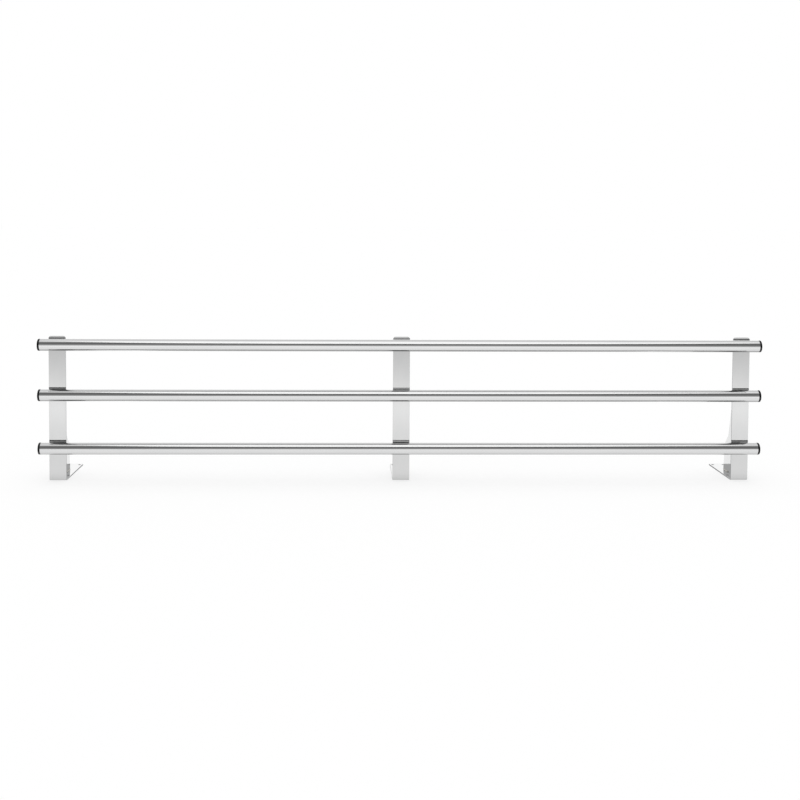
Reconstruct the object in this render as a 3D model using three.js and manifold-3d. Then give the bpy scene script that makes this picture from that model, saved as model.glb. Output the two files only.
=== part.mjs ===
// A three-bar towel rack in stainless steel: three round tubes with plastic end caps, screwed from
// behind to three bent brackets. Each bracket is an upright strip with a foot behind it, stiffened
// by a tapered web that is welded along the middle of both.
//
// Frame: X along the tubes, Y from front to back, Z up. The origin is the middle of the centre
// bracket's foot, on its underside, which is the face that is fastened down.

import * as THREE from "three";
import { mergeVertices } from "three/addons/utils/BufferGeometryUtils.js";
import Module from "manifold-3d";

// ---------------------------------------------------------------- driving dimensions, millimetres

const TUBE_DIAMETER = 25;
const TUBE_WALL = 1.2;
const TUBE_LENGTH = 1526;
const BOTTOM_TUBE_HEIGHT = 72; // tube centre above the underside of the feet
const LOWER_PITCH = 113.5; // bottom tube to middle tube
const UPPER_PITCH = 107; // middle tube to top tube

const TUBE_OVERHANG = 13.5; // tube's end beyond the outer edge of the side bracket
const BRACKET_WIDTH = 36;
const PLATE = 3; // thickness of the bent plate
const BEND_RADIUS = 1.5; // inside the bend
const FOOT_DEPTH = 150; // strip's front face to the foot's rear edge
const STRIP_ABOVE_TUBE = 17; // top tube's centre to the strip's top edge
const STRIP_CORNER_RADIUS = 5;
const FOOT_CORNER_RADIUS = 4;

const FOOT_HOLE_DIAMETER = 6;
const FOOT_HOLE_SPACING = 24; // across the foot, one hole each side of the web
const FRONT_HOLE_DEPTH = 36; // hole centres behind the strip's front face
const REAR_HOLE_MARGIN = 12; // hole centres in front of the foot's rear edge

const WEB_PLATE = 3;
const WEB_HEEL_DEPTH = 97; // depths run back from the strip's front face
const WEB_HEEL_TOP_DEPTH = 88.5;
const WEB_HEEL_HEIGHT = 64;
const WEB_SHOULDER_DEPTH = 68.5;
const WEB_SHOULDER_HEIGHT = 83;
const WEB_TIP_DEPTH = 8;
const WEB_TIP_DROP = 9; // below the strip's top edge
const WEB_HEEL_RADIUS = 9;
const WEB_SHOULDER_RADIUS = 14;
const WEB_TIP_RADIUS = 2;
const WEB_BEND_RELIEF = 4; // corner cut off the web where it clears the bend

const CAP_HEAD = 5.5; // thickness of the visible head, crown included
const CAP_CROWN = 1; // rise of the head's face
const CAP_EDGE_RADIUS = 1.2;
const CAP_SPIGOT_LENGTH = 17;
const CAP_SPIGOT_WALL = 1.8;
const CAP_FLOOR = 1.5; // closes the hollow core, under the head
const CAP_FIN_COUNT = 3;
const CAP_FIN_HEIGHT = 1;
const CAP_FIN_LENGTH = 2.6;
const CAP_CLEARANCE = 0.3; // fins to the tube's bore

const SCREW_DIAMETER = 5;
const SCREW_LENGTH = 14; // under the head
const SCREW_WELD_ROOM = 3.25; // between a head and the web, for the web's weld
const SCREW_HEAD_DIAMETER = 9.5;
const SCREW_HEAD_HEIGHT = 2.75;
const SCREW_HEAD_RIM = 0.7; // straight part of the head, under its dome
const SCREW_FACE_DIAMETER = 5; // flat ring round the socket, on top of the dome
const SCREW_SOCKET = 3; // hexagon across flats
const SCREW_SOCKET_DEPTH = 1.6;
const SCREW_CHAMFER = 0.7;
const SCREW_CLEARANCE = 0.3; // all round the shank

const NUT_BODY_DIAMETER = 7.4;
const NUT_FLANGE_DIAMETER = 10;
const NUT_FLANGE = 1; // flange thickness, which spaces the tube from the strip
const NUT_COLLAR_DIAMETER = 9.4; // the part that swells behind the tube wall
const NUT_COLLAR = 3; // length of that part
const NUT_TAIL = 3.5; // length of the body beyond it
const NUT_CLEARANCE = 0.3; // to the tube

const TUBE_SEGMENTS = 48;
const CAP_SEGMENTS = 24;
const SMALL_SEGMENTS = 10; // screws, nuts and their holes
const ARC_STEP = Math.PI / 8; // longest step round a plate's corner
const DOME_STEPS = 2; // steps up the dome of a cap or a screw head

// ------------------------------------------------------------------------------- tied sizes

const TUBE_RADIUS = TUBE_DIAMETER / 2;
const TUBE_BORE_RADIUS = TUBE_RADIUS - TUBE_WALL;
const SCREW_RADIUS = SCREW_DIAMETER / 2;
const SIDE_BRACKET_DISTANCE = TUBE_LENGTH / 2 - TUBE_OVERHANG - BRACKET_WIDTH / 2;

const TUBE_HEIGHTS = {
  bottom: BOTTOM_TUBE_HEIGHT,
  middle: BOTTOM_TUBE_HEIGHT + LOWER_PITCH,
  top: BOTTOM_TUBE_HEIGHT + LOWER_PITCH + UPPER_PITCH,
};
const BRACKET_PLACES = {
  left: -SIDE_BRACKET_DISTANCE,
  centre: 0,
  right: SIDE_BRACKET_DISTANCE,
};
const SCREW_OFFSET = WEB_PLATE / 2 + SCREW_WELD_ROOM + SCREW_HEAD_DIAMETER / 2;
const SCREW_PLACES = { a: -SCREW_OFFSET, b: SCREW_OFFSET }; // one each side of the web

const STRIP_FRONT = -FOOT_DEPTH / 2;
const STRIP_BACK = STRIP_FRONT + PLATE;
const FOOT_REAR = STRIP_FRONT + FOOT_DEPTH;
const STRIP_TOP = TUBE_HEIGHTS.top + STRIP_ABOVE_TUBE;
const TUBE_STANDOFF = NUT_FLANGE + NUT_CLEARANCE;
const TUBE_CENTRE = STRIP_FRONT - TUBE_STANDOFF - TUBE_RADIUS;

// --------------------------------------------------------------------------------- materials

const polishedTube = { color: 0xd6d8da, roughness: 0.16, metalness: 1 };
const polishedPlate = { color: 0xdcdddd, roughness: 0.12, metalness: 1 };
const blackPlastic = { color: 0x17181a, roughness: 0.45, metalness: 0 };
const plainSteel = { color: 0xb9bbbd, roughness: 0.35, metalness: 1 };

// ----------------------------------------------------------------------------- solid modelling

const wasm = await Module();
wasm.setup();

// The solid inside a closed geometry.
function toSolid(geometry) {
  const bare = geometry.clone();
  bare.deleteAttribute("normal");
  bare.deleteAttribute("uv");
  const merged = mergeVertices(bare, 1e-4);
  return new wasm.Manifold(
    new wasm.Mesh({
      numProp: 3,
      vertProperties: new Float32Array(merged.attributes.position.array),
      triVerts: new Uint32Array(merged.index.array),
    }),
  );
}

// The geometry of a solid, flat-shaded.
function toGeometry(solid) {
  const mesh = solid.getMesh();
  const indexed = new THREE.BufferGeometry();
  indexed.setAttribute("position", new THREE.BufferAttribute(mesh.vertProperties, mesh.numProp));
  indexed.setIndex(new THREE.BufferAttribute(mesh.triVerts, 1));
  const geometry = indexed.toNonIndexed();
  geometry.computeVertexNormals();
  return geometry;
}

// The first geometry with each of the others cut out of it.
function cut(geometry, ...cutters) {
  return toGeometry(cutters.reduce((solid, cutter) => solid.subtract(toSolid(cutter)), toSolid(geometry)));
}

// What all the geometries have in common.
function common(geometry, ...others) {
  return toGeometry(others.reduce((solid, other) => solid.intersect(toSolid(other)), toSolid(geometry)));
}

// A closed outline through corners [x, y, radius], each rounded by its own tangent arc.
function roundedShape(corners) {
  const points = [];
  corners.forEach(([x, y, radius = 0], i) => {
    const corner = new THREE.Vector2(x, y);
    const before = corners.at(i - 1);
    const after = corners[(i + 1) % corners.length];
    const toBefore = new THREE.Vector2(before[0] - x, before[1] - y).normalize();
    const toAfter = new THREE.Vector2(after[0] - x, after[1] - y).normalize();
    if (radius === 0) {
      points.push(corner);
      return;
    }
    const half = Math.acos(THREE.MathUtils.clamp(toBefore.dot(toAfter), -1, 1)) / 2;
    const inward = toBefore.clone().add(toAfter).normalize();
    const centre = corner.clone().addScaledVector(inward, radius / Math.sin(half));
    const start = corner.clone().addScaledVector(toBefore, radius / Math.tan(half)).sub(centre);
    const side = Math.sign(toBefore.cross(toAfter));
    const turn = -side * (Math.PI - 2 * half);
    const steps = Math.max(1, Math.ceil(Math.abs(turn) / ARC_STEP));
    for (let step = 0; step <= steps; step++) {
      points.push(start.clone().rotateAround(new THREE.Vector2(), (turn * step) / steps).add(centre));
    }
  });
  return new THREE.Shape(points);
}

function extrude(shape, depth) {
  const curveSegments = TUBE_SEGMENTS / 2; // an arc of a full circle is drawn with twice as many
  return new THREE.ExtrudeGeometry(shape, { depth, curveSegments, steps: 1, bevelEnabled: false });
}

// A shape drawn in (Y, Z), given a width along X about the middle.
function extrudeAlongX(shape, width) {
  const axes = new THREE.Matrix4().makeBasis(
    new THREE.Vector3(0, 1, 0),
    new THREE.Vector3(0, 0, 1),
    new THREE.Vector3(1, 0, 0),
  );
  return extrude(shape, width).applyMatrix4(axes).translate(-width / 2, 0, 0);
}

// A profile of [radius, Y] pairs turned about Y.
function latheAboutY(profile, segments) {
  return new THREE.LatheGeometry(
    profile.map(([radius, y]) => new THREE.Vector2(radius, y)),
    segments,
  );
}

// [radius, Y] pairs after [radius, low], in and up a rounded dome to [inner, high].
function domeProfile(radius, low, inner, high) {
  const points = [];
  for (let step = 1; step <= DOME_STEPS; step++) {
    const angle = (Math.PI / 2) * (step / DOME_STEPS);
    points.push([
      inner + (radius - inner) * Math.cos(angle),
      low + (high - low) * Math.sin(angle),
    ]);
  }
  return points;
}

// A round cutter along Y, between two values of Y.
function drillAlongY(radius, from, to, x, z) {
  const drill = new THREE.CylinderGeometry(radius, radius, to - from, SMALL_SEGMENTS);
  return drill.translate(x, (from + to) / 2, z);
}

// A round cutter along Z, between two heights.
function drillAlongZ(radius, from, to, x, y) {
  const drill = new THREE.CylinderGeometry(radius, radius, to - from, SMALL_SEGMENTS);
  return drill.rotateX(Math.PI / 2).translate(x, y, (from + to) / 2);
}

// ------------------------------------------------------------------------------------ pieces

// A tube with a hole in its rear wall for each rivet nut.
function tubeGeometry() {
  const ring = new THREE.Shape().absarc(0, 0, TUBE_RADIUS, 0, 2 * Math.PI);
  ring.holes.push(new THREE.Path().absarc(0, 0, TUBE_BORE_RADIUS, 0, 2 * Math.PI, true));
  const holeRadius = NUT_BODY_DIAMETER / 2 + NUT_CLEARANCE;
  const holes = [];
  for (const bracketX of Object.values(BRACKET_PLACES)) {
    for (const screwX of Object.values(SCREW_PLACES)) {
      holes.push(drillAlongY(holeRadius, 0, TUBE_DIAMETER, bracketX + screwX, 0));
    }
  }
  return cut(extrudeAlongX(ring, TUBE_LENGTH), ...holes);
}

// An end cap about Y: its head stands from 0 up, outside the tube, and its hollow, finned spigot
// reaches down into the tube.
function endCapGeometry() {
  const finRadius = TUBE_BORE_RADIUS - CAP_CLEARANCE;
  const spigotRadius = finRadius - CAP_FIN_HEIGHT;
  const coreRadius = spigotRadius - CAP_SPIGOT_WALL;
  const faceHeight = CAP_HEAD - CAP_CROWN;
  const edgeHeight = faceHeight - CAP_EDGE_RADIUS;
  const faceRadius = TUBE_RADIUS - CAP_EDGE_RADIUS;
  const face = [];
  for (let step = 1; step <= DOME_STEPS; step++) {
    const share = 1 - step / DOME_STEPS; // of the face's radius, on a shallow parabola
    face.push([faceRadius * share, faceHeight + CAP_CROWN * (1 - share ** 2)]);
  }
  const fins = [];
  for (let fin = CAP_FIN_COUNT; fin > 0; fin--) {
    const top = (-CAP_SPIGOT_LENGTH * (fin - 0.5)) / CAP_FIN_COUNT;
    fins.push([spigotRadius, top - CAP_FIN_LENGTH], [finRadius, top]);
  }
  const profile = [
    [0, -CAP_FLOOR],
    [coreRadius, -CAP_FLOOR],
    [coreRadius, -CAP_SPIGOT_LENGTH],
    [spigotRadius, -CAP_SPIGOT_LENGTH],
    ...fins,
    [spigotRadius, 0],
    [TUBE_RADIUS, 0],
    [TUBE_RADIUS, edgeHeight],
    ...domeProfile(TUBE_RADIUS, edgeHeight, faceRadius, faceHeight),
    ...face,
  ];
  return latheAboutY(profile, CAP_SEGMENTS);
}

// The bent plate: the upright strip in front, the foot behind it.
function bracketPlateGeometry() {
  const side = roundedShape([
    [STRIP_FRONT, 0, BEND_RADIUS + PLATE],
    [FOOT_REAR, 0],
    [FOOT_REAR, PLATE],
    [STRIP_BACK, PLATE, BEND_RADIUS],
    [STRIP_BACK, STRIP_TOP],
    [STRIP_FRONT, STRIP_TOP],
  ]);
  const halfWidth = BRACKET_WIDTH / 2;
  const front = roundedShape([
    [-halfWidth, 0],
    [halfWidth, 0],
    [halfWidth, STRIP_TOP, STRIP_CORNER_RADIUS],
    [-halfWidth, STRIP_TOP, STRIP_CORNER_RADIUS],
  ]);
  const plan = roundedShape([
    [-halfWidth, STRIP_FRONT],
    [halfWidth, STRIP_FRONT],
    [halfWidth, FOOT_REAR, FOOT_CORNER_RADIUS],
    [-halfWidth, FOOT_REAR, FOOT_CORNER_RADIUS],
  ]);
  const blank = common(
    extrudeAlongX(side, BRACKET_WIDTH),
    extrude(front, FOOT_DEPTH).rotateX(Math.PI / 2).translate(0, FOOT_REAR, 0),
    extrude(plan, STRIP_TOP),
  );
  const holes = [];
  for (const height of Object.values(TUBE_HEIGHTS)) {
    for (const x of Object.values(SCREW_PLACES)) {
      holes.push(
        drillAlongY(SCREW_RADIUS + SCREW_CLEARANCE, STRIP_FRONT - PLATE, STRIP_BACK + PLATE, x, height),
      );
    }
  }
  for (const y of [STRIP_FRONT + FRONT_HOLE_DEPTH, FOOT_REAR - REAR_HOLE_MARGIN]) {
    for (const x of [-FOOT_HOLE_SPACING / 2, FOOT_HOLE_SPACING / 2]) {
      holes.push(drillAlongZ(FOOT_HOLE_DIAMETER / 2, -PLATE, 2 * PLATE, x, y));
    }
  }
  return cut(blank, ...holes);
}

// The web behind the strip: a heel on the foot, a shoulder, and a long taper up to the strip's top.
function webGeometry() {
  const tipHeight = STRIP_TOP - WEB_TIP_DROP;
  const outline = roundedShape([
    [STRIP_BACK + WEB_BEND_RELIEF, PLATE],
    [STRIP_FRONT + WEB_HEEL_DEPTH, PLATE],
    [STRIP_FRONT + WEB_HEEL_TOP_DEPTH, WEB_HEEL_HEIGHT, WEB_HEEL_RADIUS],
    [STRIP_FRONT + WEB_SHOULDER_DEPTH, WEB_SHOULDER_HEIGHT, WEB_SHOULDER_RADIUS],
    [STRIP_FRONT + WEB_TIP_DEPTH, tipHeight, WEB_TIP_RADIUS],
    [STRIP_BACK, tipHeight],
    [STRIP_BACK, PLATE + WEB_BEND_RELIEF],
  ]);
  return extrudeAlongX(outline, WEB_PLATE);
}

// A button-head screw about Y: the underside of its head at 0, the shank down from there.
function screwGeometry() {
  const headRadius = SCREW_HEAD_DIAMETER / 2;
  const screw = latheAboutY(
    [
      [0, -SCREW_LENGTH],
      [SCREW_RADIUS - SCREW_CHAMFER, -SCREW_LENGTH],
      [SCREW_RADIUS, -SCREW_LENGTH + SCREW_CHAMFER],
      [SCREW_RADIUS, 0],
      [headRadius, 0],
      [headRadius, SCREW_HEAD_RIM],
      ...domeProfile(headRadius, SCREW_HEAD_RIM, SCREW_FACE_DIAMETER / 2, SCREW_HEAD_HEIGHT),
      [0, SCREW_HEAD_HEIGHT],
    ],
    SMALL_SEGMENTS,
  );
  const socketRadius = SCREW_SOCKET / 2 / Math.cos(Math.PI / 6);
  const socket = new THREE.CylinderGeometry(socketRadius, socketRadius, 2 * SCREW_SOCKET_DEPTH, 6);
  return cut(screw, socket.translate(0, SCREW_HEAD_HEIGHT, 0));
}

// A rivet nut about Y: the face of its flange at 0 and the rest below, with the collar that grips
// the inside of the tube.
function rivetNutGeometry() {
  const boreRadius = SCREW_RADIUS + SCREW_CLEARANCE;
  const bodyRadius = NUT_BODY_DIAMETER / 2;
  const collarRadius = NUT_COLLAR_DIAMETER / 2;
  const wallCurve = TUBE_BORE_RADIUS - Math.sqrt(TUBE_BORE_RADIUS ** 2 - collarRadius ** 2);
  const collarDepth = TUBE_STANDOFF + TUBE_WALL + wallCurve + NUT_CLEARANCE;
  const tailDepth = collarDepth + NUT_COLLAR;
  return latheAboutY(
    [
      [boreRadius, -tailDepth - NUT_TAIL],
      [bodyRadius, -tailDepth - NUT_TAIL],
      [bodyRadius, -tailDepth],
      [collarRadius, -collarDepth],
      [bodyRadius, -collarDepth],
      [bodyRadius, -NUT_FLANGE],
      [NUT_FLANGE_DIAMETER / 2, -NUT_FLANGE],
      [NUT_FLANGE_DIAMETER / 2, 0],
      [boreRadius, 0],
      [boreRadius, -tailDepth - NUT_TAIL],
    ],
    SMALL_SEGMENTS,
  );
}

// ---------------------------------------------------------------------------------- assembly

function place(parent, name, geometry, look, x = 0, y = 0, z = 0) {
  const mesh = new THREE.Mesh(geometry, new THREE.MeshStandardMaterial(look));
  mesh.name = name;
  mesh.position.set(x, y, z);
  parent.add(mesh);
  return mesh;
}

const rack = new THREE.Group();

const tube = tubeGeometry();
const endCap = endCapGeometry();
for (const [level, height] of Object.entries(TUBE_HEIGHTS)) {
  const bar = new THREE.Group();
  bar.position.set(0, TUBE_CENTRE, height);
  rack.add(bar);
  place(bar, `tube_${level}`, tube, polishedTube);
  place(bar, `end_cap_${level}_left`, endCap, blackPlastic, -TUBE_LENGTH / 2).rotation.z = Math.PI / 2;
  place(bar, `end_cap_${level}_right`, endCap, blackPlastic, TUBE_LENGTH / 2).rotation.z = -Math.PI / 2;
}

const bracketPlate = bracketPlateGeometry();
const web = webGeometry();
const screw = screwGeometry();
const rivetNut = rivetNutGeometry();
for (const [side, bracketX] of Object.entries(BRACKET_PLACES)) {
  const bracket = new THREE.Group();
  bracket.position.x = bracketX;
  rack.add(bracket);
  place(bracket, `bracket_${side}`, bracketPlate, polishedPlate);
  place(bracket, `web_${side}`, web, polishedPlate);
  for (const [level, height] of Object.entries(TUBE_HEIGHTS)) {
    for (const [letter, x] of Object.entries(SCREW_PLACES)) {
      const fixing = `${level}_${side}_${letter}`;
      place(bracket, `screw_${fixing}`, screw, plainSteel, x, STRIP_BACK, height);
      place(bracket, `rivet_nut_${fixing}`, rivetNut, plainSteel, x, STRIP_FRONT, height);
    }
  }
}

export default rack;
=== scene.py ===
"""The looks of the three-bar towel rack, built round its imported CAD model.

Every CAD node is replaced by a finer mesh of the same size: tubes with eased ends, crowned caps,
bent plates and webs with rounded edges, screws and rivet nuts. The weld beads are added to them.
Lengths are in metres. X runs along the bars, the front faces -Y, and the feet stand on Z = 0.
"""
import math

import bmesh
import bpy
import numpy as np
from mathutils import Matrix, Vector
from mathutils.geometry import tessellate_polygon


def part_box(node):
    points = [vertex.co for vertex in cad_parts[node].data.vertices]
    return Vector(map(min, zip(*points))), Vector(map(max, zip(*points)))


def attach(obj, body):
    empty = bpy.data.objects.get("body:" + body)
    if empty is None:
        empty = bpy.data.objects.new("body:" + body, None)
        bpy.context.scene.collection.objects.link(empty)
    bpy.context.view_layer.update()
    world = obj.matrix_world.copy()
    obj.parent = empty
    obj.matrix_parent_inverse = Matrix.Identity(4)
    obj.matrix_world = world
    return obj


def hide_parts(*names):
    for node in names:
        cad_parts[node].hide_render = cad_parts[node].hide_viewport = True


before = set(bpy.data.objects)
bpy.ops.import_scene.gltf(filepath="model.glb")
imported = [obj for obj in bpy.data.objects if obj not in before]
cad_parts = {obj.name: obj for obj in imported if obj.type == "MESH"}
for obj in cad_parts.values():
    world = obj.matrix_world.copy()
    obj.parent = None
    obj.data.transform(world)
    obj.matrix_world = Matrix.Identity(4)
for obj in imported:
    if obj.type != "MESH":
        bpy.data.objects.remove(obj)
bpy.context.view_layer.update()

MM = 0.001
WHITE = (1, 1, 1, 1)
LEVELS = ("bottom", "middle", "top")
SIDES = ("left", "centre", "right")
LETTERS = "ab"  # the two fixings where a bar crosses a strip, one each side of the web

# ------------------------------------------------------------------ sizes the boxes don't give

TUBE_WALL = 1.2 * MM
TUBE_END_EASE = 0.25 * MM  # rounding of the tube's end edges
TUBE_EASE_STEPS = 3
TUBE_SEGMENTS = 128
NUT_HOLE_RADIUS = 4.0 * MM  # in the tube's rear wall
RING_GAP = 1.5 * MM  # from an edge or a hole to the ring of points that keeps the wall straight
DRILL_START = 0.3  # where the holes' cutter starts behind the tube's middle, in tube radii

CAP_CROWN = 1 * MM
CAP_CROWN_SHARES = (0.92, 0.84, 0.74, 0.62, 0.5, 0.36, 0.24)  # its rings, as parts of its radius
CAP_EDGE_RADIUS = 1.2 * MM
CAP_EDGE_END = 12  # degrees from the axis, where the rounded edge meets the crown
CAP_EDGE_STEPS = 8
CAP_SEAM = 0.12 * MM  # eased inner edge, which draws the line between cap and tube
CAP_FLOOR = 1.5 * MM  # thickness under the head, where the spigot's hollow ends
CAP_SEGMENTS = 96
# The small sunk mark where the plastic was fed in: depth below the crown and radius, in mm.
CAP_GATE = ((0.02, 1.35), (0.05, 1.1), (0.32, 0.95), (0.32, 0))
SPIGOT_WALL = 1.8 * MM
FIN_COUNT = 3
FIN_DEPTH = 1 * MM
FIN_CLEARANCE = 0.3 * MM  # to the tube's bore
FIN_STEEP, FIN_SLOPE = 0.15 * MM, 2.6 * MM  # along the spigot, on a fin's head side and far side

PLATE_EASE = 0.35 * MM  # rounding of the sheet's edges
PLATE_EASE_TURNS = (0, 30, 60, 90)  # degrees, where the rounding has its points
BEND_RADIUS = 1.5 * MM
BEND_STEPS = 14
CORNER_STEP = math.radians(10)
STRIP_CORNER_RADIUS = 5 * MM
FOOT_CORNER_RADIUS = 4 * MM
HOLE_SEGMENTS = 32
SCREW_HOLE_RADIUS = 2.8 * MM
FOOT_HOLE_RADIUS = 3 * MM
FOOT_HOLE_OFFSET = 12 * MM  # from the middle of the foot
FOOT_HOLE_DEPTHS = (36 * MM, 138 * MM)  # behind the strip's front face

# The web's corners in mm: depth behind the strip's front face, height above the floor, radius.
WEB_CORNERS = (
    (7, 3, 0),
    (97, 3, 0),
    (88.5, 64, 9),
    (68.5, 83, 14),
    (8, 300.5, 2),
    (3, 300.5, 0),
    (3, 7, 0),
)

STRIP_WELDS = ((15, 45), (112, 146), (226, 260))  # heights in mm
FOOT_WELDS = ((14, 44), (66, 92))  # depths behind the strip's front face in mm
WELD_LEG = 2.3 * MM
WELD_ROOT = 0.15 * MM  # how far the bead's corner goes into the plates
WELD_BITE = 0.1  # how far its sides do, as a part of that
WELD_FLATNESS = 0.55  # 0 for a bead as round as a pipe, 1 for a flat one
WELD_FACES = 8  # across the bead
WELD_TAPER = 1.2 * WELD_LEG  # rounding of the bead's ends
WELD_RIPPLE = 1.3 * MM  # from one ripple to the next
WELD_STEP = WELD_RIPPLE / 5
RIPPLE_HEIGHT = 0.07  # as a part of the bead's size
RIPPLE_LAG = 0.9  # from a ripple's ends to its middle, in ripples

FIXING_SEGMENTS = 48
SHANK_RADIUS = 2.5 * MM
SHANK_CHAMFER = 0.7 * MM
HEAD_RIM = 0.7 * MM  # height of the head's straight side
HEAD_EASE = 0.15 * MM
HEAD_FACE_RADIUS = 2.5 * MM
HEAD_STEPS = 8
SOCKET = 1.5 * MM  # from the middle to a flat
SOCKET_DEPTH = 1.6 * MM
SOCKET_EASE = 0.15 * MM
SOCKET_POINT = 0.35  # depth of the socket's conical end, as a part of SOCKET
# How far a screw is turned, in radians: the first of a pair, the second's extra turn, and the
# extra turn for each letter of its name.
SCREW_TURN, SECOND_SCREW_TURN, NAME_TURN = 0.35, 0.4, 0.23

NUT_FLANGE = 1 * MM
NUT_EASE = 0.2 * MM
NUT_BODY_RADIUS = 3.7 * MM
NUT_BORE = 2.8 * MM
NUT_TAIL = 3.5 * MM  # behind the collar
NUT_TAIL_CHAMFER = 0.3 * MM
# The collar that swells inside the tube: distance from its start and radius, in mm.
NUT_COLLAR = ((0, 3.7), (0.1, 4.4), (0.6, 4.7), (1.6, 4.35), (3, 3.7))

# Degrees between two faces, from which the edge between them shows.
SHARP = 32
SHARP_ON_PLATES = 50
SHARP_ON_WELDS = 60

# ------------------------------------------------------------------------------- mesh making


def smooth(mesh, sharp):
    """Smooth shading, but for edges over sharp degrees."""
    mesh.polygons.foreach_set("use_smooth", [True] * len(mesh.polygons))
    mesh.set_sharp_from_angle(angle=math.radians(sharp))


def make_piece(name, points, faces, looks, look_of_face=None, grain=None, sharp=SHARP):
    """A mesh object from points and faces, facing out.

    look_of_face gives each face its number in looks, and grain gives each point its coordinates
    in the grain map.
    """
    mesh = bpy.data.meshes.new(name)
    mesh.from_pydata([tuple(p) for p in points], [], [tuple(f) for f in faces])
    if look_of_face is not None:
        mesh.polygons.foreach_set("material_index", look_of_face)
    if grain is not None:
        corners = np.zeros(len(mesh.loops), np.int32)
        mesh.loops.foreach_get("vertex_index", corners)
        layer = mesh.uv_layers.new(name="Grain")
        layer.uv.foreach_set("vector", np.asarray(grain, np.float32)[corners].ravel())
    for look in looks:
        mesh.materials.append(look)
    solid = bmesh.new()
    solid.from_mesh(mesh)
    bmesh.ops.recalc_face_normals(solid, faces=solid.faces)
    solid.to_mesh(mesh)
    solid.free()
    smooth(mesh, sharp)
    piece = bpy.data.objects.new(name, mesh)
    bpy.context.scene.collection.objects.link(piece)
    return piece


def settle(piece, slot, *nodes):
    """The piece rides on the rack's one body and stands for these CAD nodes."""
    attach(piece, "root")
    if nodes:
        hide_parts(*nodes)


def skin(rings, closed=False):
    """Faces between rings of point numbers, where a ring of one point closes an end.

    A closed skin joins its last ring to its first.
    """
    faces = []
    for ring, after in zip(rings, rings[1:] + rings[:1] if closed else rings[1:]):
        count = max(len(ring), len(after))
        for i in range(count):
            j = (i + 1) % count
            near = (ring[i % len(ring)], ring[j % len(ring)])
            far = (after[j % len(after)], after[i % len(after)])
            face = list(dict.fromkeys(near + far))
            if len(face) > 2:
                faces.append(face)
    return faces


def lathe(profile, segments, closed=False):
    """Points and faces of a profile of (along X, radius) turned about X.

    A radius can be a function of the angle. A closed profile joins its last ring to its first.
    """
    points, rings = [], []
    for along, radius in profile:
        count = 1 if radius == 0 else segments
        rings.append([len(points) + i for i in range(count)])
        for i in range(count):
            angle = 2 * math.pi * i / segments
            reach = radius(angle) if callable(radius) else radius
            points.append((along, reach * math.cos(angle), reach * math.sin(angle)))
    return points, skin(rings, closed)


def arc(centre, radius, start, end, steps):
    """(along, radius) pairs on an arc, angles in degrees from the axis direction."""
    turns = [math.radians(start + (end - start) * i / steps) for i in range(steps + 1)]
    return [(centre[0] + radius * math.cos(a), centre[1] + radius * math.sin(a)) for a in turns]


def rounded_outline(corners):
    """A closed outline through corners (x, y, radius), each rounded by its own tangent arc."""
    outline = []
    for i, (x, y, radius) in enumerate(corners):
        corner = Vector((x, y))
        if radius == 0:
            outline.append(corner)
            continue
        to_before = (Vector(corners[i - 1][:2]) - corner).normalized()
        to_after = (Vector(corners[(i + 1) % len(corners)][:2]) - corner).normalized()
        half = math.acos(max(-1.0, min(1.0, to_before.dot(to_after)))) / 2
        centre = corner + (to_before + to_after).normalized() * radius / math.sin(half)
        start = corner + to_before * radius / math.tan(half) - centre
        side = math.copysign(1, to_before.x * to_after.y - to_before.y * to_after.x)
        turn = -side * (math.pi - 2 * half)
        steps = max(2, math.ceil(abs(turn) / CORNER_STEP))
        outline += [centre + Matrix.Rotation(turn * k / steps, 2) @ start for k in range(steps + 1)]
    return outline


def round_hole(u, v, radius):
    """A clockwise ring for a hole in a slab."""
    angles = [-2 * math.pi * i / HOLE_SEGMENTS for i in range(HOLE_SEGMENTS)]
    return [(u + radius * math.cos(a), v + radius * math.sin(a)) for a in angles]


def inset(ring, distance):
    """A closed ring moved to its left by distance, with mitred corners."""
    ring = np.asarray(ring, float)
    normals = np.roll(ring, -1, 0) - ring
    normals = normals[:, ::-1] * (-1, 1)
    normals /= np.linalg.norm(normals, axis=1)[:, None]
    before = np.roll(normals, 1, 0)
    mitre = (normals + before) / (1 + (normals * before).sum(1))[:, None]
    return ring + distance * mitre


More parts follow.
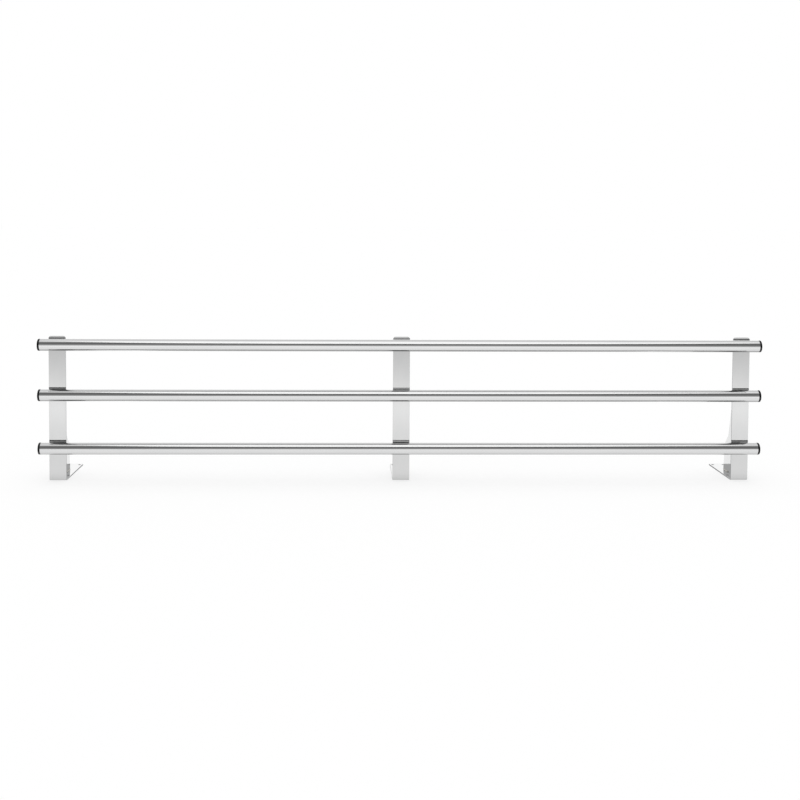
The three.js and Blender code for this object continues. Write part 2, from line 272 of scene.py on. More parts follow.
def slab(outline, holes, thickness, place, stations=()):
    """Points, faces, the look of each face and the grain's coordinates, for a plate.

    outline is anticlockwise in (u, v) and the holes are clockwise. The plate's edges are rounded.
    place turns (u, v, depth) into a point. stations are the values of v that its flat faces are
    split at, where the outline has a point on each side. Look 0 is the sheet's face and look 1 its
    cut edge. The grain runs along v.
    """
    turns = [math.radians(a) for a in PLATE_EASE_TURNS]
    front = [(PLATE_EASE * (1 - math.sin(a)), PLATE_EASE * (1 - math.cos(a))) for a in turns]
    edge = front + [(inwards, thickness - depth) for inwards, depth in reversed(front)]
    flat, faces, looks = [], [], []
    ends = []  # for each loop, the indices of its first and last rings
    for loop in (outline, *holes):
        count = len(loop)
        first = len(flat)
        for inwards, depth in edge:
            flat += [(u, v, depth) for u, v in inset(loop, inwards)]
        for k in range(len(edge) - 1):
            for i in range(count):
                j = (i + 1) % count
                a, b = first + k * count, first + (k + 1) * count
                faces.append((a + i, a + j, b + j, b + i))
                looks.append(1 if k == len(front) - 1 else 0)
        last = first + (len(edge) - 1) * count
        ends.append([range(first, first + count), range(last, last + count)])
    levels = [-math.inf, *stations, math.inf]
    close = 1e-7  # a point this near to a station is at it
    for which in (0, 1):
        for low, high in zip(levels, levels[1:]):
            rims = [[i for i in ends[0][which] if low - close <= flat[i][1] <= high + close]]
            for hole in ends[1:]:
                if low < flat[hole[which][0]][1] < high:
                    rims.append(list(hole[which]))
            if len(rims) == 1:
                faces.append(rims[0])
                looks.append(0)
                continue
            order = [i for rim in rims for i in rim]
            rim_points = [[Vector((flat[i][0], flat[i][1], 0)) for i in rim] for rim in rims]
            for triangle in tessellate_polygon(rim_points):
                faces.append([order[k] for k in triangle])
                looks.append(0)
    grain = [(v, u + depth) for u, v, depth in flat]
    return [place(*p) for p in flat], faces, looks, grain


def weld(start, end, leg_a, leg_b):
    """Points and faces of a rippled fillet weld from start to end, between two plates.

    leg_a and leg_b are the unit directions along the two plates, away from the corner.
    """
    start, end, leg_a, leg_b = (Vector(v) for v in (start, end, leg_a, leg_b))
    along = end - start
    rings = round(along.length / WELD_STEP)
    root = -WELD_ROOT * (leg_a + leg_b)
    points, rows = [], []
    for i in range(rings + 1):
        distance = along.length * i / rings
        from_end = min(distance, along.length - distance)
        taper = math.sqrt(max(0.0, 1 - max(0.0, 1 - from_end / WELD_TAPER) ** 2))
        base = start + along * i / rings
        first = len(points)
        points.append(base + root)
        for k in range(WELD_FACES + 1 if 0 < i < rings else 0):
            angle = math.pi / 2 * k / WELD_FACES
            lag = RIPPLE_LAG * WELD_RIPPLE * math.sin(2 * angle)  # the ripples are crescents
            wave = RIPPLE_HEIGHT * math.cos(2 * math.pi * (distance + lag) / WELD_RIPPLE)
            ripple = 1 + wave if 0 < k < WELD_FACES else 1
            chord = 1 / (math.cos(angle) + math.sin(angle))
            size = WELD_LEG * taper * (1 - WELD_FLATNESS + WELD_FLATNESS * chord) * ripple
            side = math.cos(angle) * leg_a + math.sin(angle) * leg_b
            points.append(base + WELD_BITE * root + size * side)
        rows.append(list(range(first, len(points))))
    return points, skin(rows)


# ------------------------------------------------------------------------------ shader nodes


def node(tree, kind, wires=None, values=None, **settings):
    """A new shader node with its settings, its inputs' values and the sockets wired to them."""
    made = tree.nodes.new("ShaderNode" + kind)
    for key, value in settings.items():
        setattr(made, key, value)
    for key, value in (values or {}).items():
        made.inputs[key].default_value = value
    for key, source in (wires or {}).items():
        tree.links.new(source, made.inputs[key])
    return made


def math_node(tree, operation, *sources):
    """The result of an operation on sockets and numbers."""
    made = node(tree, "Math", operation=operation)
    for i, source in enumerate(sources):
        if isinstance(source, (int, float)):
            made.inputs[i].default_value = source
        else:
            tree.links.new(source, made.inputs[i])
    return made.outputs["Value"]


def map_range(tree, source, start, end, low, high):
    """The source's range from start to end, made into low to high."""
    made = node(
        tree,
        "MapRange",
        {"Value": source},
        {"From Min": start, "From Max": end, "To Min": low, "To Max": high},
    )
    return made.outputs["Result"]


def empty_tree(owner):
    """The node tree of a new material or world, without the nodes that it comes with."""
    owner.use_nodes = True
    owner.node_tree.nodes.clear()
    return owner.node_tree


# --------------------------------------------------------------------------------- materials

NOISE_ROUGHNESS = 0.55
NOISE_RANGE = (0.3, 0.7)  # where most of a noise texture's values are
LINE_DETAIL = 4.0
LINE_DEPTH = 0.02 * MM
LINE_ROUGHNESS = (0.75, 1.25)  # times the roughness, from one line to the next
CLOUD_DETAIL = 2.0
PLASTIC_TONES = ((0.006, 0.006, 0.007), (0.011, 0.011, 0.012))
PLASTIC_ROUGHNESS = (0.34, 0.5)
PLASTIC_SPECULAR = 0.2
PLASTIC_CLOUD_SCALE = (160, 160, 160)
PORE_SCALE = (2600, 2600, 2600)
PORE_DETAIL = 2.0
PORE_DEPTH = 0.03 * MM
PORE_BUMP = 0.35


def new_tree(name):
    """A new material, its node tree and its shader."""
    look = bpy.data.materials.new(name)
    look.use_nodes = True
    tree = look.node_tree
    return look, tree, tree.nodes["Principled BSDF"]


def coordinates(tree, grained):
    """Coordinates in metres: along the grain first where the mesh has a grain map."""
    if grained:
        return node(tree, "UVMap", uv_map="Grain").outputs["UV"]
    return node(tree, "TexCoord").outputs["Object"]


def noise(tree, source, scale, detail):
    """Noise with one scale for each axis, in cells to the metre."""
    placed = node(tree, "Mapping", {"Vector": source}, {"Scale": scale})
    made = node(
        tree,
        "TexNoise",
        {"Vector": placed.outputs["Vector"]},
        {"Scale": 1.0, "Detail": detail, "Roughness": NOISE_ROUGHNESS},
    )
    return made.outputs["Fac"]


def spread(tree, source, low, high):
    """A noise texture's values spread over low to high."""
    return map_range(tree, source, *NOISE_RANGE, low, high)


def colour(tree, shader, clouds, first, second):
    """Gives the shader a colour from first to second, as the clouds go."""
    tone = node(
        tree,
        "Mix",
        {"Factor": spread(tree, clouds, 0, 1)},
        {"A": (*first, 1), "B": (*second, 1)},
        data_type="RGBA",
    )
    tree.links.new(tone.outputs["Result"], shader.inputs["Base Color"])


def emboss(tree, shader, height, strength, depth):
    """Gives the shader a bump as the height goes."""
    bump = node(tree, "Bump", {"Height": height}, {"Strength": strength, "Distance": depth})
    tree.links.new(bump.outputs["Normal"], shader.inputs["Normal"])


def steel(name, light, dark, roughness, line_scale, cloud_scale, bump, grained=False):
    """Bare stainless steel: fine lines along the grain, and soft clouds of tone and wear.

    The colour runs from light to dark and the roughness over its range, as the clouds go.
    """
    look, tree, shader = new_tree(name)
    source = coordinates(tree, grained)
    lines = noise(tree, source, line_scale, LINE_DETAIL)
    clouds = noise(tree, source, cloud_scale, CLOUD_DETAIL)
    colour(tree, shader, clouds, light, dark)
    soft = spread(tree, clouds, *roughness)
    rough = math_node(tree, "MULTIPLY", soft, spread(tree, lines, *LINE_ROUGHNESS))
    tree.links.new(rough, shader.inputs["Roughness"])
    emboss(tree, shader, lines, bump, LINE_DEPTH)
    shader.inputs["Metallic"].default_value = 1.0
    return look


def plastic(name):
    """Satin black moulded plastic with a fine spark-eroded texture and scuffs."""
    look, tree, shader = new_tree(name)
    source = coordinates(tree, False)
    pores = noise(tree, source, PORE_SCALE, PORE_DETAIL)
    clouds = noise(tree, source, PLASTIC_CLOUD_SCALE, CLOUD_DETAIL)
    colour(tree, shader, clouds, *PLASTIC_TONES)
    tree.links.new(spread(tree, clouds, *PLASTIC_ROUGHNESS), shader.inputs["Roughness"])
    emboss(tree, shader, pores, PORE_BUMP, PORE_DEPTH)
    shader.inputs["Specular IOR Level"].default_value = PLASTIC_SPECULAR
    return look


TUBE_LOOK = steel(
    "polished_tube",
    light=(0.88, 0.88, 0.88),
    dark=(0.845, 0.85, 0.855),
    roughness=(0.085, 0.13),
    line_scale=(9, 2600, 2600),
    cloud_scale=(7, 60, 60),
    bump=0.15,
)
SHEET_LOOK = steel(
    "polished_sheet",
    light=(0.79, 0.79, 0.79),
    dark=(0.765, 0.77, 0.77),
    roughness=(0.05, 0.085),
    line_scale=(30, 2200, 1),
    cloud_scale=(14, 40, 1),
    bump=0.08,
    grained=True,
)
EDGE_LOOK = steel(
    "cut_edge",
    light=(0.52, 0.52, 0.53),
    dark=(0.40, 0.40, 0.41),
    roughness=(0.3, 0.42),
    line_scale=(2500, 300, 1),
    cloud_scale=(300, 300, 1),
    bump=0.6,
    grained=True,
)
WELD_LOOK = steel(
    "weld_bead",
    light=(0.66, 0.65, 0.62),
    dark=(0.52, 0.50, 0.46),
    roughness=(0.2, 0.32),
    line_scale=(900, 900, 900),
    cloud_scale=(260, 260, 260),
    bump=0.3,
)
SCREW_LOOK = steel(
    "screw_steel",
    light=(0.62, 0.62, 0.62),
    dark=(0.54, 0.54, 0.55),
    roughness=(0.2, 0.3),
    line_scale=(1500, 1500, 1500),
    cloud_scale=(300, 300, 300),
    bump=0.35,
)
PLASTIC_LOOK = plastic("black_plastic")

# ------------------------------------------------------------------------------------- tubes


def drill(piece, bit):
    """Cuts the bit's shape out of the piece and takes the bit away."""
    cut = piece.modifiers.new("hole", "BOOLEAN")
    cut.object = bit
    cut.solver = "EXACT"
    bpy.context.view_layer.update()
    evaluated = piece.evaluated_get(bpy.context.evaluated_depsgraph_get())
    drilled = bpy.data.meshes.new_from_object(evaluated)
    piece.modifiers.clear()
    piece.data = drilled
    bpy.data.objects.remove(bit)


def build_tube(level, nut_places):
    """One bar, with holes in its rear wall for the rivet nuts at these places along X."""
    low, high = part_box(f"tube_{level}")
    radius = (high.z - low.z) / 2
    bore = radius - TUBE_WALL
    centre = (low + high) / 2
    half = (high.x - low.x) / 2
    ease, steps = TUBE_END_EASE, TUBE_EASE_STEPS
    stations = [-half + RING_GAP, half - RING_GAP]
    for x in nut_places:
        stations += [x - centre.x + side * (NUT_HOLE_RADIUS + RING_GAP) for side in (-1, 1)]
    stations.sort()
    profile = (
        arc((half - ease, radius - ease), ease, 90, 0, steps)
        + arc((half - ease, bore + ease), ease, 0, -90, steps)
        + [(x, bore) for x in reversed(stations)]
        + arc((ease - half, bore + ease), ease, 270, 180, steps)
        + arc((ease - half, radius - ease), ease, 180, 90, steps)
        + [(x, radius) for x in stations]
    )
    points, faces = lathe(profile, TUBE_SEGMENTS, closed=True)
    points = [Vector(p) + centre for p in points]
    tube = make_piece(f"tube_{level}_polished", points, faces, [TUBE_LOOK])
    bit_profile = [(0, 0), (0, NUT_HOLE_RADIUS), (radius, NUT_HOLE_RADIUS), (radius, 0)]
    bit_points, bit_faces = lathe(bit_profile, HOLE_SEGMENTS)
    start = centre.y + DRILL_START * radius
    for x in nut_places:
        placed = [Vector((x + p[1], start + p[0], centre.z + p[2])) for p in bit_points]
        drill(tube, make_piece("bit", placed, bit_faces, [TUBE_LOOK]))
    smooth(tube.data, SHARP)
    settle(tube, "tube_steel", f"tube_{level}")


nut_boxes = [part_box(f"rivet_nut_top_{side}_{letter}") for side in SIDES for letter in LETTERS]
for level in LEVELS:
    build_tube(level, [(low.x + high.x) / 2 for low, high in nut_boxes])

# ---------------------------------------------------------------------------------- end caps


def cap_shape():
    """Points and faces of a cap on a right-hand end, where the tube ends at X = 0."""
    low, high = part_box("end_cap_top_right")
    tube_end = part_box("tube_top")[1].x
    head_radius = (high.z - low.z) / 2
    head = high.x - tube_end
    spigot = tube_end - low.x
    fin_radius = head_radius - TUBE_WALL - FIN_CLEARANCE
    spigot_radius = fin_radius - FIN_DEPTH
    core_radius = spigot_radius - SPIGOT_WALL
    face_radius = head_radius - CAP_EDGE_RADIUS
    face = head - CAP_CROWN
    profile = [
        (-CAP_FLOOR, 0),
        (-CAP_FLOOR, core_radius),
        (-spigot, core_radius),
        (-spigot, spigot_radius),
    ]
    for fin in reversed(range(FIN_COUNT)):
        tip = -spigot * (fin + 0.5) / FIN_COUNT
        profile += [
            (tip - FIN_SLOPE, spigot_radius),
            (tip, fin_radius),
            (tip + FIN_STEEP, spigot_radius),
        ]
    profile += [(0, spigot_radius), (0, head_radius - CAP_SEAM), (CAP_SEAM, head_radius)]
    edge_centre = (face - CAP_EDGE_RADIUS, face_radius)
    profile += arc(edge_centre, CAP_EDGE_RADIUS, 90, CAP_EDGE_END, CAP_EDGE_STEPS)
    for share in CAP_CROWN_SHARES:
        profile.append((face + CAP_CROWN * (1 - share**2), face_radius * share))
    profile += [(head - depth * MM, radius * MM) for depth, radius in CAP_GATE]
    return lathe(profile, CAP_SEGMENTS)


cap_points, cap_faces = cap_shape()
for level in LEVELS:
    for side, turn in (("left", math.pi), ("right", 0)):
        low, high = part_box(f"end_cap_{level}_{side}")
        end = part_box(f"tube_{level}")[0 if side == "left" else 1].x
        middle = Vector((end, (low.y + high.y) / 2, (low.z + high.z) / 2))
        rotation = Matrix.Rotation(turn, 3, "Z")
        placed = [rotation @ Vector(p) + middle for p in cap_points]
        cap = make_piece(f"end_cap_{level}_{side}_moulded", placed, cap_faces, [PLASTIC_LOOK])
        settle(cap, "cap_plastic", f"end_cap_{level}_{side}")

# ---------------------------------------------------------------------------------- brackets


def make_plate(cad_node, points, faces, looks, grain):
    """A plate of polished sheet that stands for a CAD node, from what slab returns."""
    name = f"{cad_node}_polished"
    sheet = [SHEET_LOOK, EDGE_LOOK]
    plate = make_piece(name, points, faces, sheet, looks, grain, SHARP_ON_PLATES)
    weighted = plate.modifiers.new("flat_faces", "WEIGHTED_NORMAL")
    weighted.keep_sharp = True
    weighted.weight = 100  # the broad flat faces win over the rounded edges
    settle(plate, "plate_steel", cad_node)


def build_bracket(side):
    """A strip and its foot, made as one flat blank and bent."""
    low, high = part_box(f"bracket_{side}")
    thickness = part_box(f"web_{side}")[0].z - low.z
    middle = (low.x + high.x) / 2
    half = (high.x - low.x) / 2
    front, rear, ground, top = low.y, high.y, low.z, high.z
    foot_flat = rear - (front + thickness + BEND_RADIUS)
    bend_length = (BEND_RADIUS + thickness / 2) * math.pi / 2
    strip_flat = top - ground - thickness - BEND_RADIUS
    length = foot_flat + bend_length + strip_flat

    def bend(u, v, depth):
        """A point of the flat blank, v along it from the foot's rear edge, after bending."""
        if v <= foot_flat:
            return Vector((middle + u, rear - v, ground + thickness - depth))
        if v >= foot_flat + bend_length:
            rise = v - foot_flat - bend_length
            return Vector((middle + u, front + thickness - depth, top - strip_flat + rise))
        angle = (v - foot_flat) / bend_length * math.pi / 2
        reach = BEND_RADIUS + depth
        return Vector(
            (
                middle + u,
                front + thickness + BEND_RADIUS - reach * math.sin(angle),
                ground + thickness + BEND_RADIUS - reach * math.cos(angle),
            )
        )

    stations = [foot_flat + bend_length * i / BEND_STEPS for i in range(BEND_STEPS + 1)]
    corners = rounded_outline(
        [
            (-half, 0, FOOT_CORNER_RADIUS),
            (half, 0, FOOT_CORNER_RADIUS),
            (half, length, STRIP_CORNER_RADIUS),
            (-half, length, STRIP_CORNER_RADIUS),
        ]
    )
    foot_corners, strip_corners = corners[: len(corners) // 2], corners[len(corners) // 2 :]
    outline = (
        foot_corners
        + [Vector((half, v)) for v in stations]
        + strip_corners
        + [Vector((-half, v)) for v in reversed(stations)]
    )
    holes = []
    for depth in FOOT_HOLE_DEPTHS:
        for u in (-FOOT_HOLE_OFFSET, FOOT_HOLE_OFFSET):
            holes.append(round_hole(u, rear - (front + depth), FOOT_HOLE_RADIUS))
    for level in LEVELS:
        for letter in LETTERS:
            nut_low, nut_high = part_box(f"rivet_nut_{level}_{side}_{letter}")
            u = (nut_low.x + nut_high.x) / 2 - middle
            height = (nut_low.z + nut_high.z) / 2
            holes.append(round_hole(u, length - (top - height), SCREW_HOLE_RADIUS))
    make_plate(f"bracket_{side}", *slab(outline, holes, thickness, bend, stations))


def build_web(side):
    """The tapered plate behind a strip."""
    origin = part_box(f"bracket_{side}")[0]
    low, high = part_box(f"web_{side}")
    thickness = high.x - low.x
    start = (low.x + high.x) / 2 - thickness / 2
    outline = rounded_outline(
        [(origin.y + y * MM, origin.z + z * MM, radius * MM) for y, z, radius in WEB_CORNERS]
    )

    def upright(y, z, depth):
        """A point of the web, depth from its left face."""
        return Vector((start + depth, y, z))

    make_plate(f"web_{side}", *slab(outline, [], thickness, upright))


def build_welds(side):
    """The beads that join a web to its strip and its foot, on both of its faces."""
    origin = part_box(f"bracket_{side}")[0]
    low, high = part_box(f"web_{side}")
    thickness = low.z - origin.z
    points, faces = [], []
    for turn in (-1, 1):
        x = (low.x + high.x) / 2 + turn * (high.x - low.x) / 2
        runs = []  # start, end, and the direction away from the web's edge
        for heights in STRIP_WELDS:
            ends = [(x, origin.y + thickness, origin.z + z * MM) for z in heights]
            runs.append((*ends, (0, 1, 0)))
        for depths in FOOT_WELDS:
            ends = [(x, origin.y + y * MM, origin.z + thickness) for y in depths]
            runs.append((*ends, (0, 0, 1)))
        for start, end, away in runs:
            bead_points, bead_faces = weld(start, end, (turn, 0, 0), away)
            faces += [[i + len(points) for i in face] for face in bead_faces]
            points += bead_points
    welds = make_piece(f"welds_{side}", points, faces, [WELD_LOOK], sharp=SHARP_ON_WELDS)
    settle(welds, "plate_steel")


for side in SIDES:
    build_bracket(side)
    build_web(side)
    build_welds(side)

# ------------------------------------------------------------------------ screws, rivet nuts


def hexagon(apothem):
    """The radius of a hexagon at each angle."""
    return lambda angle: apothem / math.cos((angle + math.pi / 6) % (math.pi / 3) - math.pi / 6)


def screw_shape(seat):
    """Points and faces of a button-head screw along X, with the head's seat at X = 0.

    seat is that place along Y in the CAD model.
    """
    low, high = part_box("screw_top_centre_a")
    head_height = high.y - seat
    head_radius = (high.z - low.z) / 2
    shank = seat - low.y
    profile = [
        (-shank, 0),
        (-shank, SHANK_RADIUS - SHANK_CHAMFER),
        (SHANK_CHAMFER - shank, SHANK_RADIUS),
        (0, SHANK_RADIUS),
        (0, head_radius - HEAD_EASE),
        (HEAD_EASE, head_radius),
    ]
    for k in range(HEAD_STEPS + 1):
        angle = math.pi / 2 * k / HEAD_STEPS
        along = HEAD_RIM + (head_height - HEAD_RIM) * math.sin(angle)
        radius = HEAD_FACE_RADIUS + (head_radius - HEAD_FACE_RADIUS) * math.cos(angle)
        profile.append((along, radius))
    profile += [
        (head_height, hexagon(SOCKET + SOCKET_EASE)),
        (head_height - SOCKET_EASE, hexagon(SOCKET)),
        (head_height - SOCKET_DEPTH, hexagon(SOCKET)),
        (head_height - SOCKET_DEPTH - SOCKET_POINT * SOCKET, 0),
    ]
    return lathe(profile, FIXING_SEGMENTS)


def nut_shape():
    """Points and faces of a rivet nut along X, with the outer face of its flange at X = 0."""
    low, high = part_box("rivet_nut_top_centre_a")
    length = high.y - low.y
    flange_radius = (high.z - low.z) / 2
    collar = length - NUT_TAIL - NUT_COLLAR[-1][0] * MM
    profile = [
        (NUT_EASE, NUT_BORE),
        (0, NUT_BORE + NUT_EASE),
        (0, flange_radius - NUT_EASE),
        (NUT_EASE, flange_radius),
        (NUT_FLANGE - NUT_EASE, flange_radius),
        (NUT_FLANGE, flange_radius - NUT_EASE),
        (NUT_FLANGE, NUT_BODY_RADIUS),
    ]
    profile += [(collar + along * MM, radius * MM) for along, radius in NUT_COLLAR]
    profile += [
        (length - NUT_TAIL_CHAMFER, NUT_BODY_RADIUS),
        (length, NUT_BODY_RADIUS - NUT_TAIL_CHAMFER),
        (length, NUT_BORE),
    ]
    return lathe(profile, FIXING_SEGMENTS, closed=True)


strip_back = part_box("web_centre")[0].y
screw_points, screw_faces = screw_shape(strip_back)
nut_points, nut_faces = nut_shape()
back = Matrix.Rotation(math.pi / 2, 3, "Z")  # X to Y
forth = Matrix.Rotation(-math.pi / 2, 3, "Z")  # X to -Y
for side in SIDES:
    for level in LEVELS:
        for which, letter in enumerate(LETTERS):
            fixing = f"{level}_{side}_{letter}"
            low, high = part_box(f"screw_{fixing}")
            middle = Vector(((low.x + high.x) / 2, strip_back, (low.z + high.z) / 2))
            turn = SCREW_TURN + SECOND_SCREW_TURN * which + NAME_TURN * len(fixing)
            twist = Matrix.Rotation(turn, 3, "X")
            placed = [back @ (twist @ Vector(p)) + middle for p in screw_points]
            screw = make_piece(f"screw_{fixing}_fine", placed, screw_faces, [SCREW_LOOK])
            settle(screw, "fixing_steel", f"screw_{fixing}")
            low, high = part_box(f"rivet_nut_{fixing}")
            middle = Vector(((low.x + high.x) / 2, high.y, (low.z + high.z) / 2))
            placed = [forth @ Vector(p) + middle for p in nut_points]
            nut = make_piece(f"rivet_nut_{fixing}_fine", placed, nut_faces, [SCREW_LOOK])
            settle(nut, "fixing_steel", f"rivet_nut_{fixing}")

# ---------------------------------------------------------------------------- floor and light

# Where steel mirrors steel, each reflection after the first keeps only this share of the stage's
# level. This tames levels brighter than real stainless steel would return, and it paints shade into
# the creases where the bars meet the strips and where the webs meet the feet.
FURTHER_REFLECTION_SHADE = 0.45
FURTHER_MOST = 2.0  # how many times it is applied at most

FLOOR_REACH = 40.0
FLOOR_COLOUR = 0.25
# What polished steel sees on the floor: (metres along Y, level). The peak about a metre in front is
# a painted pool of light, and the low levels under and behind the rack are its painted shadow.
FLOOR_SEEN_WITH_PAINTED_LIGHT = (
    (-6.0, 0.56),
    (-2.7, 0.63),
    (-2.2, 0.69),
    (-1.8, 0.77),
    (-1.35, 0.88),
    (-0.95, 1.0),
    (-0.7, 0.92),
    (-0.5, 0.88),
    (-0.3, 0.84),
    (-0.17, 0.84),
    (-0.1, 0.79),
    (-0.08, 0.62),
    (-0.04, 0.56),
    (0.03, 0.42),
    (0.2, 0.42),
    (0.7, 0.5),
    (1.0, 0.6),
    (1.6, 0.9),
    (6.0, 0.95),
)

# The room that polished steel mirrors: (degrees from the front horizon over the top, level).
ROOM_SEEN = (
    (-90, 0.6),
    (-5, 0.5),
    (0, 0.42),
    (8, 0.3),
    (18, 0.18),
    (40, 0.12),
    (55, 0.16),
    (66, 0.5),
    (78, 0.75),
    (95, 0.72),
    (115, 0.62),
    (150, 0.72),
    (164, 1.1),
    (172, 1.1),
    (180, 0.9),
)
ROOM_LEVEL = 1.2  # of white in the room's bands
DAYLIGHT = 0.65  # from all round, the rest comes from the soft lamp above
LAMP_SPREAD = 50  # degrees

SOFTBOX_HEIGHT = 1.29
# Its corners (x, y) in order. The bars mirror its front edge as the upper side of their dark line,
# which widens towards their ends as in the photograph.
SOFTBOX_OUTLINE = (
    (-1.06, 0.12),
    (-1.02, -0.15),
    (-0.98, -0.32),
    (-0.94, -0.50),
    (-0.88, -0.75),
    (-0.80, -0.98),
    (-0.67, -1.15),
    (-0.48, -1.26),
    (-0.30, -1.30),
    (0.25, -1.30),
    (0.50, -1.23),
    (0.76, -1.05),
    (0.93, -0.85),
    (1.03, -0.70),
    (1.13, -0.50),
    (1.17, -0.25),
    (1.20, 0.12),
)
SOFTBOX_LEVEL = 1.12  # of white in the softbox's bands
SOFTBOX_BANDS = ((-1.3, 1.08), (-0.6, 1.12), (-0.3, 1.02), (-0.05, 0.8), (0.12, 0.68))

# White cards on the floor, which the webs of the side brackets mirror: corners (x, y) in order.
FILL_LEVEL = 1.0
FILL_HEIGHT = 1 * MM
FILLS = {
    "left": ((-0.78, 0.08), (-0.62, 0.08), (-0.40, 1.0), (-0.58, 1.0)),
    "right": ((0.62, 0.08), (0.78, 0.08), (0.48, 1.0), (0.30, 1.0)),
}


def mirrored_level(tree, path, level=1.0):
    """The level of a part of the stage as polished surfaces see it, dimmed after the first
    reflection as painted shade where steel mirrors steel.
    """
    further = math_node(tree, "SUBTRACT", path.outputs["Glossy Depth"], 1.0)
    further = math_node(tree, "MAXIMUM", further, 0.0)
    further = math_node(tree, "MINIMUM", further, FURTHER_MOST)
    share = math_node(tree, "POWER", FURTHER_REFLECTION_SHADE, further)
    return math_node(tree, "MULTIPLY", share, level)


def grey_bands(tree, source, bands, most=1.0):
    """Greys that run through bands of (source's value, level), with most as the level of white."""
    first, last = bands[0][0], bands[-1][0]
    made = node(tree, "ValToRGB", {"Fac": map_range(tree, source, first, last, 0.0, 1.0)})
    stops = made.color_ramp.elements
    while len(stops) < len(bands):
        stops.new(0.5)
    for stop, (place, level) in zip(stops, bands):
        stop.position = (place - first) / (last - first)
        stop.color = (level / most, level / most, level / most, 1)
    return made.outputs["Color"]


def along_y(tree, bands, most=1.0):
    """Greys that run through bands of (metres along Y, level), with most as the level of white."""
    place = node(tree, "SeparateXYZ", {"Vector": node(tree, "NewGeometry").outputs["Position"]})
    return grey_bands(tree, place.outputs["Y"], bands, most)


def stage_panel(name, corners):
    """A flat part of the stage, and the empty node tree of its material."""
    mesh = bpy.data.meshes.new(name)
    mesh.from_pydata(corners, [], [list(range(len(corners)))])
    panel = bpy.data.objects.new(name, mesh)
    bpy.context.scene.collection.objects.link(panel)
    look = bpy.data.materials.new(name)
    mesh.materials.append(look)
    return panel, empty_tree(look)


def build_floor():
    """A white floor with the rack's shadow, which polished steel sees in bands of grey that hold a
    painted pool of light and a painted shadow of the rack.
    """
    edge = FLOOR_REACH
    corners = [(-edge, -edge, 0), (edge, -edge, 0), (edge, edge, 0), (-edge, edge, 0)]
    tree = stage_panel("studio_floor", corners)[1]
    path = node(tree, "LightPath")
    greys, strength = along_y(tree, FLOOR_SEEN_WITH_PAINTED_LIGHT), mirrored_level(tree, path)
    seen = node(tree, "Emission", {"Color": greys, "Strength": strength})
    matt = node(tree, "BsdfDiffuse", None, {"Color": (FLOOR_COLOUR,) * 3 + (1,)})
    lift = math_node(tree, "MULTIPLY", path.outputs["Is Camera Ray"], 1 - FLOOR_COLOUR)
    glow = node(tree, "Emission", {"Strength": lift}, {"Color": WHITE})
    plain = node(tree, "AddShader", {0: matt.outputs["BSDF"], 1: glow.outputs["Emission"]})
    glossy, through = path.outputs["Is Glossy Ray"], path.outputs["Is Transmission Ray"]
    mirrored = math_node(tree, "MAXIMUM", glossy, through)
    shaders = {1: plain.outputs["Shader"], 2: seen.outputs["Emission"]}
    both = node(tree, "MixShader", {0: mirrored, **shaders})
    node(tree, "OutputMaterial", {"Surface": both.outputs["Shader"]})


def build_world():
    """White for the camera, plain light for matt surfaces, and the room for polished steel."""
    world = bpy.data.worlds.new("studio")
    bpy.context.scene.world = world
    tree = empty_tree(world)
    path = node(tree, "LightPath")
    way = node(tree, "SeparateXYZ", {"Vector": node(tree, "TexCoord").outputs["Generated"]})
    forwards = math_node(tree, "MULTIPLY", way.outputs["Y"], -1.0)
    angle = math_node(tree, "ARCTAN2", way.outputs["Z"], forwards)
    bands = [(math.radians(degrees), level) for degrees, level in ROOM_SEEN]
    greys = grey_bands(tree, angle, bands, ROOM_LEVEL)
    strength = mirrored_level(tree, path, ROOM_LEVEL)
    room = node(tree, "Background", {"Color": greys, "Strength": strength})
    white = node(tree, "Background", None, {"Color": WHITE, "Strength": 1.0})
    plain = node(tree, "Background", None, {"Color": WHITE, "Strength": DAYLIGHT})
    seen, through = path.outputs["Is Camera Ray"], path.outputs["Is Transmission Ray"]
    clear = math_node(tree, "MAXIMUM", seen, through)
    shaders = {1: plain.outputs["Background"], 2: room.outputs["Background"]}
    lit = node(tree, "MixShader", {0: path.outputs["Is Glossy Ray"], **shaders})
    shaders = {1: lit.outputs["Shader"], 2: white.outputs["Background"]}
    both = node(tree, "MixShader", {0: clear, **shaders})
    node(tree, "OutputWorld", {"Surface": both.outputs["Shader"]})


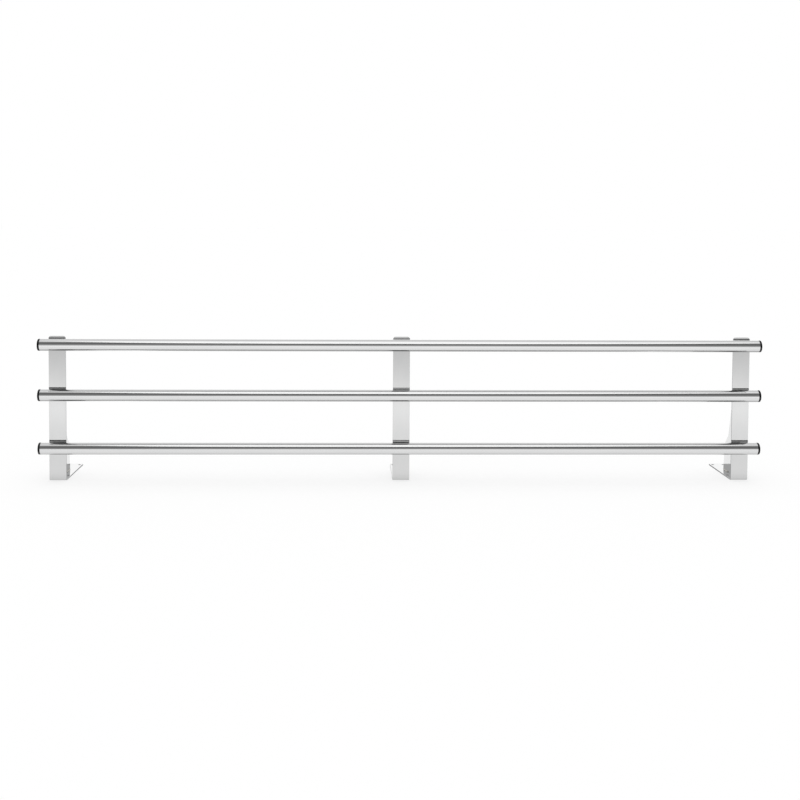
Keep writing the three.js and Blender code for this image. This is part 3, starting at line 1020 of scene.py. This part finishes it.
def build_lamp():
    """A soft lamp overhead, which polished steel doesn't see."""
    lamp = bpy.data.lights.new("overhead", "SUN")
    lamp.energy = (1 - DAYLIGHT) * math.pi
    lamp.angle = math.radians(LAMP_SPREAD)
    overhead = bpy.data.objects.new("overhead", lamp)
    overhead.visible_glossy = False
    bpy.context.scene.collection.objects.link(overhead)


def card(name, corners, level, bands=None):
    """A light panel that only polished steel sees, of one level or with bands up to that level."""
    panel, tree = stage_panel(name, corners)
    strength = mirrored_level(tree, node(tree, "LightPath"), level)
    shade = node(tree, "Emission", {"Strength": strength}, {"Color": WHITE})
    if bands:
        tree.links.new(along_y(tree, bands, level), shade.inputs["Color"])
    node(tree, "OutputMaterial", {"Surface": shade.outputs["Emission"]})
    panel.visible_camera = False
    panel.visible_diffuse = False
    panel.visible_shadow = False


build_floor()
build_world()
build_lamp()
softbox = [(x, y, SOFTBOX_HEIGHT) for x, y in SOFTBOX_OUTLINE]
card("softbox", softbox, SOFTBOX_LEVEL, SOFTBOX_BANDS)
for side, corners in FILLS.items():
    card(f"fill_{side}", [(x, y, FILL_HEIGHT) for x, y in corners], FILL_LEVEL)

# ------------------------------------------------------------------------------------ camera

LENS = 50.0  # mm
SENSOR = 36.0  # mm
CAMERA_PLACE = (-0.1088, -2.4365, 0.5718)
CAMERA_TURN, CAMERA_DROP, CAMERA_ROLL = -1.290, 2.463, 0.283  # degrees
CAMERA_SHIFT = (0.03, -0.173)
CAMERA_CLIP = (0.05, 200)

lens = bpy.data.cameras.new("camera")
lens.lens = LENS
lens.sensor_width = SENSOR
lens.shift_x, lens.shift_y = CAMERA_SHIFT
lens.clip_start, lens.clip_end = CAMERA_CLIP
camera = bpy.data.objects.new("camera", lens)
camera.matrix_world = (
    Matrix.Translation(CAMERA_PLACE)
    @ Matrix.Rotation(math.radians(CAMERA_TURN), 4, "Z")
    @ Matrix.Rotation(math.radians(90 - CAMERA_DROP), 4, "X")
    @ Matrix.Rotation(math.radians(CAMERA_ROLL), 4, "Z")
)
bpy.context.scene.collection.objects.link(camera)
bpy.context.scene.camera = camera
bpy.context.scene.view_settings.view_transform = "Standard"
